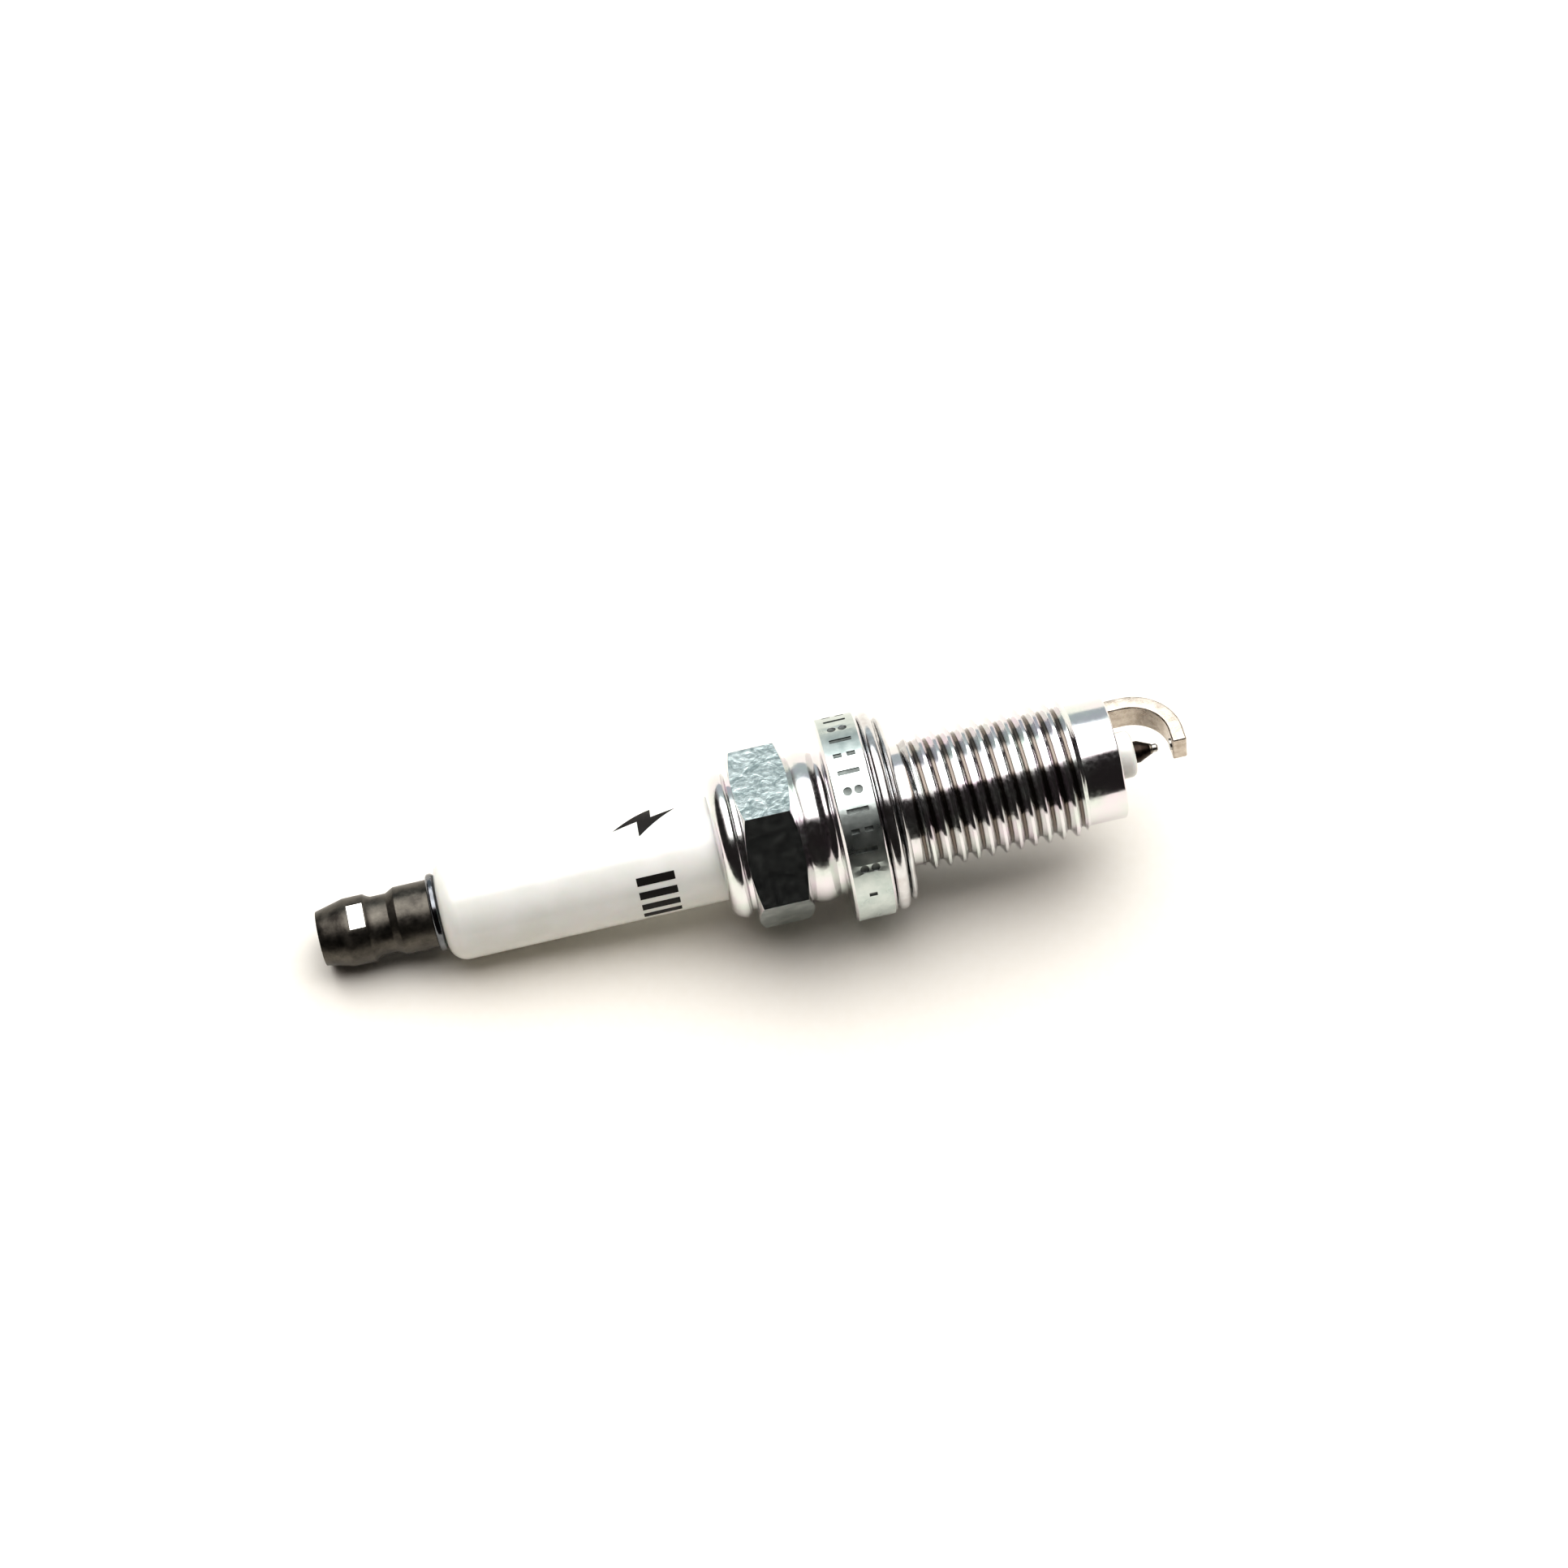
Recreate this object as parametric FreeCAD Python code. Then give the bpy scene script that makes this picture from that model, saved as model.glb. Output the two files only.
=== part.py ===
import FreeCAD, Part
import math
import os

# Spark plug with a folded gasket, in millimetres.
# The plug's axis is the X axis, and +X points to the firing end.
# X = 0 is the gasket's sealing face, and the origin is where the axis crosses it.
# Angles round the axis are counted from +Y towards +Z.

# Thread and shank
thread_r = 5.93              # crest radius of an M12 x 1.25 thread
thread_pitch = 1.25
thread_depth = 0.69
root_flat = 0.20             # axial width of the groove's floor
flank_angle = 30.0           # each flank, from the radial direction
reach = 19.0                 # sealing face to the shell's end face
pilot_length = 3.3           # plain stretch at the shell's end
relief_length = 1.0          # plain groove between the sealing face and the first thread
lead_chamfer = 0.55          # axial length of the thread's lead-in and of its run-out
plain_step = 0.63            # thread crest down to the relief groove and the pilot
groove_backing = 0.30        # metal under the thread's root, where the threaded sleeve is joined on
end_chamfer = 0.12

# Folded gasket: three layers of one sheet, joined by a fold at the outside and one at the inside
gasket_sheet = 0.40
gasket_height = 2.05         # collar side to sealing face
gasket_width = 3.32          # inside fold to outside fold
gasket_play = 0.05           # axial play between the collar and the gasket
gasket_fit = 0.08            # radial clearance on the relief groove
gasket_top_setback = 0.55    # free edge of the collar side, outwards from the inside fold
gasket_land_width = 1.30     # flat ring of the sealing face
gasket_flank_r = 1.10        # rounding outside the sealing face
gasket_flank_drop = 0.62     # how far the free edge drops, as a share of the gap between two layers

# Shell above the sealing face
collar_overhang = 0.15       # collar's rim outside the gasket's fold
collar_length = 3.63
collar_edge = 0.22
collar_fillet = 0.75         # from the neck up to the collar
neck_length = 3.27
neck_wall = 0.70
shank_wall = 0.85            # from the relief groove in to the bore, where the shank meets the collar
neck_bulge = 0.40            # how far the crushed neck stands out at its middle
hex_across_flats = 14.0
hex_length = 4.80
hex_chamfer_angle = 23.0     # from the end face
hex_clock = 39.8             # angle of one corner
lip_groove_length = 0.35
lip_groove_step = 0.45       # groove below the lip's crest
lip_wall = 0.85
lip_land = 0.80              # thickness of the lip's inner edge
lip_clearance = 0.15         # lip to the insulator's neck
lip_crest_share = 0.60       # where the crest lies between the lip's top and its groove
lip_roundness = 0.72         # fullness of the arcs on both sides of the crest; 0.5 is straight

# Marks stamped round part of the collar: bars, half bars and dots, and one dash past the last of them
stamp_depth = 0.12
stamp_bar_width = 0.44
stamp_bar_length = 1.90
stamp_dot_r = 0.38
stamp_groups = 4
stamp_start = -26.0          # angle of the first mark
stamp_pitch = 11.25          # angle from one mark to the next
stamp_dash_step = 19.0       # angle from the last mark to the dash

# Insulator
insulator_height = 40.26     # sealing face up to the insulator's upper end
insulator_neck_r = 4.55
insulator_edge = 1.60        # rounding at the upper end
insulator_mid_r = 3.65       # inside the shank
shoulder_depth = 0.90        # below the hex's lower face, where the widest stretch begins
shoulder_chamfer = 0.30
insulator_cone_length = 1.80
seat_depth = 7.0             # sealing face to the seat cone
seat_angle = 60.0            # seat cone, from the axis
nose_root_r = 2.85
nose_tip_r = 2.05
nose_straight = 2.60         # parallel stretch behind the nose's rounded edge
nose_projection = 1.75       # nose beyond the shell's end face
nose_edge = 0.55
wire_hole_r = 1.00           # hole for the centre electrode
bore_r = 1.50                # hole for the stud, the glass and the resistor
body_clearance = 0.05        # insulator to shell, at the widest stretch
shank_clearance = 0.10       # insulator to shell, inside the shank
cone_clearance = 0.30        # insulator to shell along the axis, at the cone
throat_clearance = 0.15      # nose to the shell's ledge

# Packing between insulator and shell
ring_wire_r = 0.50
talc_length = 4.30           # between the centres of the two rings
washer_thickness = 0.30      # along the axis
washer_margin = 0.05         # washer's rims inside the two walls beside it

# Ledge and firing chamber of the shell
throat_length = 1.20
chamber_bore_r = 3.85
chamber_cone_length = 0.75

# Terminal stud
flange_r = 3.40
flange_thickness = 0.70
flange_edge = 0.28
post_r = 1.95                # its thread is drawn plain
post_setback = 0.45          # end of the post below the nut's end face
post_chamfer = 0.30
stud_clearance = 0.08        # shank to the insulator's bore
stud_shank_length = 26.5
grip_length = 3.60           # grooved end, held by the glass
grip_depth = 0.20
grip_count = 6

# Terminal nut
nut_base_r = 2.95
nut_base_length = 2.90
nut_step_length = 0.70
nut_waist_r = 2.58
nut_waist_length = 1.30
nut_neck_length = 0.65       # from the waist up to the head
nut_neck_hollow = 0.14       # how far that stretch is hollowed; it is a share of the rise
nut_head_r = 2.95
nut_head_length = 1.80
nut_cone_length = 2.45
nut_tip_r = 2.35
nut_mouth_chamfer = 0.25
window_length = 1.45         # staking windows, along the axis
window_width = 2.40
window_depth = 0.37          # below the head's surface
window_setback = 0.30        # from the head's cone
window_clock = 84.5

# Seals in the bore
upper_glass_length = 5.20
lower_glass_length = 3.40

# Centre electrode
head_length = 1.60
head_clearance = 0.08        # head to the insulator's bore
ledge_depth = 2.20           # sealing face to the ledge that the head sits on
wire_clearance = 0.05
wire_projection = 2.20       # full-size wire beyond the shell's end face
wire_cone_length = 1.00
wire_cone_tip_r = 0.50
wire_core_r = 0.62
wire_core_setback = 2.50     # the copper ends this far before the cone
pin_r = 0.36
pin_length = 0.70            # proud of the cone
pin_root = 0.30              # sunk in the cone
pin_edge = 0.12
bead_height = 0.24
bead_swell = 0.62            # fullness of the bead's section; 0.5 is a plain cone

# Ground electrode
spark_gap = 1.05
pad_r = 0.50
pad_proud = 0.15
pad_sunk = 0.15
strap_thickness = 1.25
strap_width = 2.60
strap_arm_start = 0.65       # the bend ends and the straight arm starts this far above the axis
strap_overhang = 0.72        # end of the strap past the axis
strap_edge = 0.16
strap_clock = -15.0
strap_core_thickness = 0.50
strap_core_width = 1.40
strap_core_stub = 0.07       # the copper ends this far past the bend
foot_bead = 0.22             # weld bead beside the foot
foot_bead_top = 0.04

# Stations along the axis, worked out from the sizes above
thread_end = reach - pilot_length
collar_face = -(gasket_height + gasket_play)
collar_top = collar_face - collar_length
neck_top = collar_top - neck_length
hex_top = neck_top - hex_length
lip_root = hex_top - lip_groove_length
shoulder_x = neck_top - shoulder_depth
lower_ring_x = shoulder_x - ring_wire_r
upper_ring_x = lower_ring_x - talc_length
lip_underside = upper_ring_x - ring_wire_r
lip_top = lip_underside - lip_land
nose_tip_x = reach + nose_projection
insulator_top = -insulator_height
flange_top = insulator_top - flange_thickness
base_end = flange_top - nut_base_length
waist_start = base_end - nut_step_length
waist_end = waist_start - nut_waist_length
head_start = waist_end - nut_neck_length
head_end = head_start - nut_head_length
nut_tip = head_end - nut_cone_length
stud_end = insulator_top + stud_shank_length
glass_top = stud_end - grip_length
resistor_top = glass_top + upper_glass_length
wire_head_x = ledge_depth - head_length
resistor_end = wire_head_x - lower_glass_length
wire_cone_x = reach + wire_projection
cone_tip_x = wire_cone_x + wire_cone_length
pin_tip_x = cone_tip_x + pin_length
pad_x = pin_tip_x + spark_gap
strap_inner_x = pad_x + pad_proud

# Radii worked out from the sizes above
root_r = thread_r - thread_depth
plain_r = thread_r - plain_step
gasket_inner_r = plain_r + gasket_fit
gasket_outer_r = gasket_inner_r + gasket_width
collar_r = gasket_outer_r + collar_overhang
ring_r = insulator_neck_r + ring_wire_r
packing_bore_r = ring_r + ring_wire_r
body_r = packing_bore_r - body_clearance
neck_r = packing_bore_r + neck_wall
lip_r = packing_bore_r + lip_wall
lip_inner_r = insulator_neck_r + lip_clearance
shank_bore_r = insulator_mid_r + shank_clearance
throat_r = nose_root_r + throat_clearance
shank_r = bore_r - stud_clearance
wire_r = wire_hole_r - wire_clearance
strap_inner_r = (chamber_bore_r + plain_r - strap_thickness) / 2.0
strap_bend_r = strap_inner_r - strap_arm_start
seat_slope = math.tan(math.radians(seat_angle))

# The insulator's cone, placed so that the shell keeps its wall beside it
cone_slope = (packing_bore_r - shank_bore_r) / insulator_cone_length
bore_cone_x = collar_face - (packing_bore_r - (plain_r - shank_wall)) / cone_slope
body_end = bore_cone_x - cone_clearance
cone_end = body_end + insulator_cone_length

CENTRE = FreeCAD.Vector(0, 0, 0)
AXIS = FreeCAD.Vector(1, 0, 0)


def turned(*steps):
    """A solid turned round the plug's axis.

    A step is a point (x, r), or a pair of points: an arc's middle and its end.
    """
    def at(point):
        return FreeCAD.Vector(point[0], 0, point[1])

    edges = []
    here = steps[0]
    for step in steps[1:] + steps[:1]:
        if isinstance(step[0], tuple):
            middle, there = step
            edges.append(Part.Arc(at(here), at(middle), at(there)).toShape())
        else:
            there = step
            edges.append(Part.LineSegment(at(here), at(there)).toShape())
        here = there
    return Part.Face(Part.Wire(edges)).revolve(CENTRE, AXIS, 360)


def rod(start, end, radius):
    return Part.makeCylinder(radius, end - start, FreeCAD.Vector(start, 0, 0), AXIS)


def on_circle(centre_x, centre_r, radius, degrees):
    """A point on a circle in the (x, r) plane, counted from +X towards growing radius."""
    turn = math.radians(degrees)
    return (centre_x + radius * math.cos(turn), centre_r + radius * math.sin(turn))


def clocked(shape, degrees):
    """Turns a shape drawn on the +Y side of the axis to its place round the axis."""
    return shape.rotated(CENTRE, AXIS, degrees)


def seat_x(radius):
    """Where the insulator's seat cone has this radius."""
    return seat_depth + (insulator_mid_r - radius) / seat_slope


def packing_ring(x):
    return Part.makeTorus(ring_r, ring_wire_r, FreeCAD.Vector(x, 0, 0), AXIS)


def thread_groove():
    """The thread's V-shaped groove along its helix, from before the first crest to past the last."""
    overshoot = 0.12
    mouth_r = thread_r + overshoot
    half_root = root_flat / 2.0
    half_mouth = half_root + (mouth_r - root_r) * math.tan(math.radians(flank_angle))
    section = Part.makePolygon([
        FreeCAD.Vector(root_r, 0, -half_root),
        FreeCAD.Vector(mouth_r, 0, -half_mouth),
        FreeCAD.Vector(mouth_r, 0, half_mouth),
        FreeCAD.Vector(root_r, 0, half_root),
        FreeCAD.Vector(root_r, 0, -half_root),
    ])
    length = thread_end - relief_length + thread_pitch
    helix = Part.makeLongHelix(thread_pitch, length, root_r, 0, False)
    groove = Part.Wire(helix.Edges).makePipeShell([section], True, True)
    start = FreeCAD.Vector(relief_length - thread_pitch / 2.0, 0, 0)
    along_axis = FreeCAD.Rotation(FreeCAD.Vector(0, 1, 0), 90)
    groove.Placement = FreeCAD.Placement(start, along_axis)
    return groove


def threaded_sleeve(core_r):
    """The threaded stretch, hollow inside core_r, with both ends chamfered down to the plain radius."""
    sleeve = turned(
        (relief_length, core_r),
        (relief_length, plain_r),
        (relief_length + lead_chamfer, thread_r),
        (thread_end - lead_chamfer, thread_r),
        (thread_end, plain_r),
        (thread_end, core_r),
    )
    return sleeve.cut(thread_groove())


def hexagon():
    """The hex, its corners cut back by a cone at both ends."""
    land_r = hex_across_flats / 2.0
    corner_r = hex_across_flats / math.sqrt(3)
    turns = [math.radians(hex_clock + 60 * k) for k in range(7)]
    corners = [FreeCAD.Vector(hex_top, corner_r * math.cos(t), corner_r * math.sin(t)) for t in turns]
    prism = Part.Face(Part.makePolygon(corners)).extrude(FreeCAD.Vector(hex_length, 0, 0))
    drop = (corner_r - land_r) * math.tan(math.radians(hex_chamfer_angle))
    cones = turned(
        (hex_top, 0),
        (hex_top, land_r),
        (hex_top + drop, corner_r),
        (neck_top - drop, corner_r),
        (neck_top, land_r),
        (neck_top, 0),
    )
    return prism.common(cones)


def shell_bar(core_r):
    """The turned outside of the shell as a solid bar, without its hex and its thread."""
    crest_x = lip_top + lip_crest_share * (lip_root - lip_top)
    full = lip_roundness
    lip_shoulder = (lip_top + (1 - full) * (crest_x - lip_top), lip_inner_r + full * (lip_r - lip_inner_r))
    lip_back = (crest_x + full * (lip_root - crest_x), lip_r - (1 - full) * lip_groove_step)
    fillet_x = collar_top - collar_fillet
    fillet_r = neck_r + collar_fillet
    bulge = ((fillet_x + neck_top) / 2.0, neck_r + neck_bulge)
    return turned(
        (lip_top, 0),
        (lip_top, lip_inner_r),
        (lip_shoulder, (crest_x, lip_r)),
        (lip_back, (lip_root, lip_r - lip_groove_step)),
        (hex_top, lip_r - lip_groove_step),
        (neck_top, lip_r - lip_groove_step),
        (neck_top, neck_r),
        (bulge, (fillet_x, neck_r)),
        (on_circle(fillet_x, fillet_r, collar_fillet, -45), (collar_top, fillet_r)),
        (collar_top, collar_r - collar_edge),
        (collar_top + collar_edge, collar_r),
        (collar_face - collar_edge, collar_r),
        (collar_face, collar_r - collar_edge),
        (collar_face, plain_r),
        (relief_length, plain_r),
        (relief_length, core_r),
        (thread_end, core_r),
        (thread_end, plain_r),
        (reach - end_chamfer, plain_r),
        (reach, plain_r - end_chamfer),
        (reach, 0),
    )


def shell_bore():
    """The stepped hole through the shell: packing bore, shank bore, ledge, throat and firing chamber."""
    ledge_start = seat_x(shank_bore_r) + washer_thickness
    ledge_end = seat_x(throat_r) + washer_thickness
    throat_end = ledge_end + throat_length
    past_end = 1.0
    return turned(
        (lip_top - past_end, 0),
        (lip_top - past_end, lip_inner_r),
        (lip_underside, lip_inner_r),
        (lip_underside, ring_r),
        (on_circle(upper_ring_x, ring_r, ring_wire_r, 135), (upper_ring_x, packing_bore_r)),
        (bore_cone_x, packing_bore_r),
        (cone_end + cone_clearance, shank_bore_r),
        (ledge_start, shank_bore_r),
        (ledge_end, throat_r),
        (throat_end, throat_r),
        (throat_end + chamber_cone_length, chamber_bore_r),
        (reach + past_end, chamber_bore_r),
        (reach + past_end, 0),
    )


def stamped_marks():
    """Pockets in the collar's rim. Each group is a bar, two half bars in line, a bar, and two dots."""
    middle = (collar_top + collar_face) / 2.0
    bottom = collar_r - stamp_depth
    half = stamp_bar_length / 2.0
    gap = stamp_bar_width / 2.0
    marks = []

    def bar(start, end, turn):
        corner = FreeCAD.Vector(start, bottom, -stamp_bar_width / 2.0)
        box = Part.makeBox(end - start, collar_r, stamp_bar_width, corner)
        marks.append(clocked(box, turn))

    def dot(x, turn):
        foot = FreeCAD.Vector(x, bottom, 0)
        pin = Part.makeCylinder(stamp_dot_r, collar_r, foot, FreeCAD.Vector(0, 1, 0))
        marks.append(clocked(pin, turn))

    for group in range(stamp_groups):
        turn = stamp_start + 4 * stamp_pitch * group
        bar(middle - half, middle + half, turn)
        bar(middle - half, middle - gap, turn + stamp_pitch)
        bar(middle + gap, middle + half, turn + stamp_pitch)
        bar(middle - half, middle + half, turn + 2 * stamp_pitch)
        dot(middle - half / 2.0, turn + 3 * stamp_pitch)
        dot(middle + half / 2.0, turn + 3 * stamp_pitch)
    last = stamp_start + (4 * stamp_groups - 1) * stamp_pitch
    bar(middle - half / 2.0, middle + gap, last + stamp_dash_step)
    return Part.makeCompound(marks)


def metal_shell():
    core_r = root_r - groove_backing
    shell = shell_bar(core_r).fuse([hexagon(), threaded_sleeve(core_r)])
    return shell.cut(shell_bore()).cut(stamped_marks())


def gasket():
    """One sheet folded into three flat layers, the last of them rounded off outside the sealing face."""
    sheet = gasket_sheet
    gap = (gasket_height - 3 * sheet) / 2.0
    fold = sheet + gap / 2.0
    top = -gasket_height
    inner = gasket_inner_r + fold
    outer = gasket_outer_r - fold
    land = inner + gasket_land_width
    flank_x = -gasket_flank_r
    inside = gasket_flank_r - sheet
    turn = math.degrees(math.acos(1 - gasket_flank_drop * gap / inside))
    return turned(
        (top, gasket_inner_r + gasket_top_setback),
        (top, outer),
        ((top + fold, gasket_outer_r), (top + 2 * fold, outer)),
        (top + 2 * fold, inner),
        ((-sheet - gap / 2.0, inner - gap / 2.0), (-sheet, inner)),
        (-sheet, land),
        (on_circle(flank_x, land, inside, turn / 2.0), on_circle(flank_x, land, inside, turn)),
        on_circle(flank_x, land, gasket_flank_r, turn),
        (on_circle(flank_x, land, gasket_flank_r, turn / 2.0), (0, land)),
        (0, inner),
        ((-fold, gasket_inner_r), (-2 * fold, inner)),
        (-2 * fold, outer),
        ((-2 * fold - gap / 2.0, outer + gap / 2.0), (top + sheet, outer)),
        (top + sheet, gasket_inner_r + gasket_top_setback),
    )


def insulator():
    edge_r = insulator_neck_r - insulator_edge
    taper_start = seat_x(throat_r) + washer_thickness + throat_length
    return turned(
        (insulator_top, bore_r),
        (insulator_top, edge_r),
        (
            on_circle(insulator_top + insulator_edge, edge_r, insulator_edge, 135),
            (insulator_top + insulator_edge, insulator_neck_r),
        ),
        (shoulder_x, insulator_neck_r),
        (shoulder_x, body_r - shoulder_chamfer),
        (shoulder_x + shoulder_chamfer, body_r),
        (body_end, body_r),
        (cone_end, insulator_mid_r),
        (seat_depth, insulator_mid_r),
        (seat_x(nose_root_r), nose_root_r),
        (taper_start, nose_root_r),
        (nose_tip_x - nose_edge - nose_straight, nose_tip_r),
        (nose_tip_x - nose_edge, nose_tip_r),
        (
            on_circle(nose_tip_x - nose_edge, nose_tip_r - nose_edge, nose_edge, 45),
            (nose_tip_x, nose_tip_r - nose_edge),
        ),
        (nose_tip_x, wire_hole_r),
        (ledge_depth, wire_hole_r),
        (ledge_depth, bore_r),
    )


def talc_filling():
    """Powder pressed into the room between the two rings."""
    inside = rod(upper_ring_x, lower_ring_x, insulator_neck_r)
    column = rod(upper_ring_x, lower_ring_x, packing_bore_r).cut(inside)
    return column.cut([packing_ring(upper_ring_x), packing_ring(lower_ring_x)])


def seat_washer():
    inner = throat_r + washer_margin
    outer = insulator_mid_r - washer_margin
    return turned(
        (seat_x(inner), inner),
        (seat_x(outer), outer),
        (seat_x(outer) + washer_thickness, outer),
        (seat_x(inner) + washer_thickness, inner),
    )


def terminal_stud():
    """Post, round flange on the insulator's end, shank in the bore, and a grooved end for the glass."""
    post_top = nut_tip + post_setback
    edge = flange_edge
    stud = turned(
        (post_top, 0),
        (post_top, post_r - post_chamfer),
        (post_top + post_chamfer, post_r),
        (flange_top, post_r),
        (flange_top, flange_r - edge),
        (on_circle(flange_top + edge, flange_r - edge, edge, 135), (flange_top + edge, flange_r)),
        (insulator_top - edge, flange_r),
        (on_circle(insulator_top - edge, flange_r - edge, edge, 45), (insulator_top, flange_r - edge)),
        (insulator_top, shank_r),
        (stud_end, shank_r),
        (stud_end, 0),
    )
    pitch = grip_length / grip_count
    width = pitch / 2.0
    for k in range(grip_count):
        start = glass_top + pitch * k + width / 2.0
        ring = turned(
            (start, shank_r + grip_depth),
            (start, shank_r),
            (start + width / 2.0, shank_r - grip_depth),
            (start + width, shank_r),
            (start + width, shank_r + grip_depth),
        )
        stud = stud.cut(ring)
    return stud


def terminal_nut():
    """Push-on terminal: base, waist and chamfered head, with two flat staking windows in the head."""
    rise = nut_head_r - nut_waist_r
    neck_middle = (waist_end - nut_neck_length / 2.0, nut_waist_r + (0.5 - nut_neck_hollow) * rise)
    nut = turned(
        (flange_top, post_r),
        (flange_top, nut_base_r),
        (base_end, nut_base_r),
        (waist_start, nut_waist_r),
        (waist_end, nut_waist_r),
        (neck_middle, (head_start, nut_head_r)),
        (head_end, nut_head_r),
        (nut_tip, nut_tip_r),
        (nut_tip, post_r + nut_mouth_chamfer),
        (nut_tip + nut_mouth_chamfer, post_r),
    )
    corner = FreeCAD.Vector(head_end + window_setback, nut_head_r - window_depth, -window_width / 2.0)
    window = Part.makeBox(window_length, nut_head_r, window_width, corner)
    return nut.cut([clocked(window, window_clock), clocked(window, window_clock + 180)])


def upper_glass_seal():
    return rod(glass_top, resistor_top, bore_r).cut(terminal_stud())


def resistor():
    return rod(resistor_top, resistor_end, bore_r)


def lower_glass_seal():
    return rod(resistor_end, wire_head_x, bore_r)


def electrode_core():
    return rod(wire_head_x, wire_cone_x - wire_core_setback, wire_core_r)


def electrode_tip():
    return turned(
        (cone_tip_x - pin_root, 0),
        (cone_tip_x - pin_root, pin_r),
        (pin_tip_x - pin_edge, pin_r),
        (pin_tip_x, pin_r - pin_edge),
        (pin_tip_x, 0),
    )


def center_electrode():
    wire = turned(
        (wire_head_x, 0),
        (wire_head_x, bore_r - head_clearance),
        (ledge_depth, bore_r - head_clearance),
        (ledge_depth, wire_r),
        (wire_cone_x, wire_r),
        (cone_tip_x, wire_cone_tip_r),
        (cone_tip_x, 0),
    )
    return wire.cut([electrode_core(), electrode_tip()])


def tip_weld():
    """Bead of melted metal in the corner between the cone's end and the pin."""
    bead_width = wire_cone_tip_r - pin_r
    return turned(
        (cone_tip_x, pin_r),
        (cone_tip_x, wire_cone_tip_r),
        (cone_tip_x + bead_swell * bead_height, pin_r + bead_swell * bead_width),
        (cone_tip_x + bead_height, pin_r),
    )


def bent_bar(inset, thickness, width, end_r):
    """A flat bar that leaves the shell's end face, bends through a right angle and crosses the axis.

    The inset is from the strap's inner face, and end_r is where the bar ends, counted up from the axis.
    """
    inner_x = strap_inner_x + inset
    inner_r = strap_inner_r + inset
    bend_r = strap_bend_r + inset
    centre_x = inner_x - bend_r
    centre_r = inner_r - bend_r
    outer_bend_r = bend_r + thickness

    def at(point):
        return FreeCAD.Vector(point[0], point[1], -width / 2.0)

    def line(start, end):
        return Part.LineSegment(at(start), at(end)).toShape()

    def arc(radius):
        ends = [at(on_circle(centre_x, centre_r, radius, turn)) for turn in (90, 45, 0)]
        return Part.Arc(*ends).toShape()

    outer_r = inner_r + thickness
    outer_x = inner_x + thickness
    edges = [
        line((reach, inner_r), (reach, outer_r)),
        line((reach, outer_r), (centre_x, outer_r)),
        arc(outer_bend_r),
        line((outer_x, centre_r), (outer_x, end_r)),
        line((outer_x, end_r), (inner_x, end_r)),
        line((inner_x, end_r), (inner_x, centre_r)),
        arc(bend_r),
        line((centre_x, inner_r), (reach, inner_r)),
    ]
    outline = Part.Face(Part.Wire(Part.__sortEdges__(edges)))
    return outline.extrude(FreeCAD.Vector(0, 0, width))


def ground_core():
    inset = (strap_thickness - strap_core_thickness) / 2.0
    end_r = strap_arm_start - strap_core_stub
    return clocked(bent_bar(inset, strap_core_thickness, strap_core_width, end_r), strap_clock)


def ground_pad():
    return rod(pad_x, strap_inner_x + pad_sunk, pad_r)


def plain_strap():
    """The strap with rounded long edges, before the core and the pad are let in."""
    bar = bent_bar(0.0, strap_thickness, strap_width, -strap_overhang)
    keep_sharp = 0.01
    rounded = [edge for edge in bar.Edges if edge.BoundBox.XMax > reach + keep_sharp]
    return clocked(bar.makeFillet(strap_edge, rounded), strap_clock)


def ground_electrode():
    return plain_strap().cut([ground_core(), ground_pad()])


def ground_weld():
    """A bead on each side of the strap's foot, on the ring of the shell's end face."""
    half_base = strap_width / 2.0 + foot_bead
    half_top = strap_width / 2.0 + foot_bead_top
    top_x = reach + foot_bead
    section = Part.makePolygon([
        FreeCAD.Vector(reach, 0, -half_base),
        FreeCAD.Vector(reach, 0, half_base),
        FreeCAD.Vector(top_x, 0, half_top),
        FreeCAD.Vector(top_x, 0, -half_top),
        FreeCAD.Vector(reach, 0, -half_base),
    ])
    wedge = Part.Face(section).extrude(FreeCAD.Vector(0, thread_r, 0))
    ring = rod(reach, top_x, plain_r - end_chamfer).cut(rod(reach, top_x, chamber_bore_r))
    foot = Part.makeBox(foot_bead, thread_r, strap_width, FreeCAD.Vector(reach, 0, -strap_width / 2.0))
    return clocked(wedge.cut(foot), strap_clock).common(ring)


NODES = {
    "terminal_nut": terminal_nut,
    "terminal_stud": terminal_stud,
    "insulator": insulator,
    "metal_shell": metal_shell,
    "gasket": gasket,
    "upper_packing_ring": lambda: packing_ring(upper_ring_x),
    "talc_filling": talc_filling,
    "lower_packing_ring": lambda: packing_ring(lower_ring_x),
    "seat_washer": seat_washer,
    "upper_glass_seal": upper_glass_seal,
    "resistor": resistor,
    "lower_glass_seal": lower_glass_seal,
    "center_electrode": center_electrode,
    "electrode_core": electrode_core,
    "electrode_tip": electrode_tip,
    "tip_weld": tip_weld,
    "ground_electrode": ground_electrode,
    "ground_core": ground_core,
    "ground_pad": ground_pad,
    "ground_weld": ground_weld,
}

os.makedirs("parts", exist_ok=True)
for name, make in NODES.items():
    shape = make()
    shape.exportStep(f"parts/{name}.step")
    print(f"{name}: {len(shape.Solids)} solid, {shape.Volume:.2f} mm3, valid {shape.isValid()}")
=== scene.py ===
import math

import bpy
from mathutils import Matrix, Vector


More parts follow.
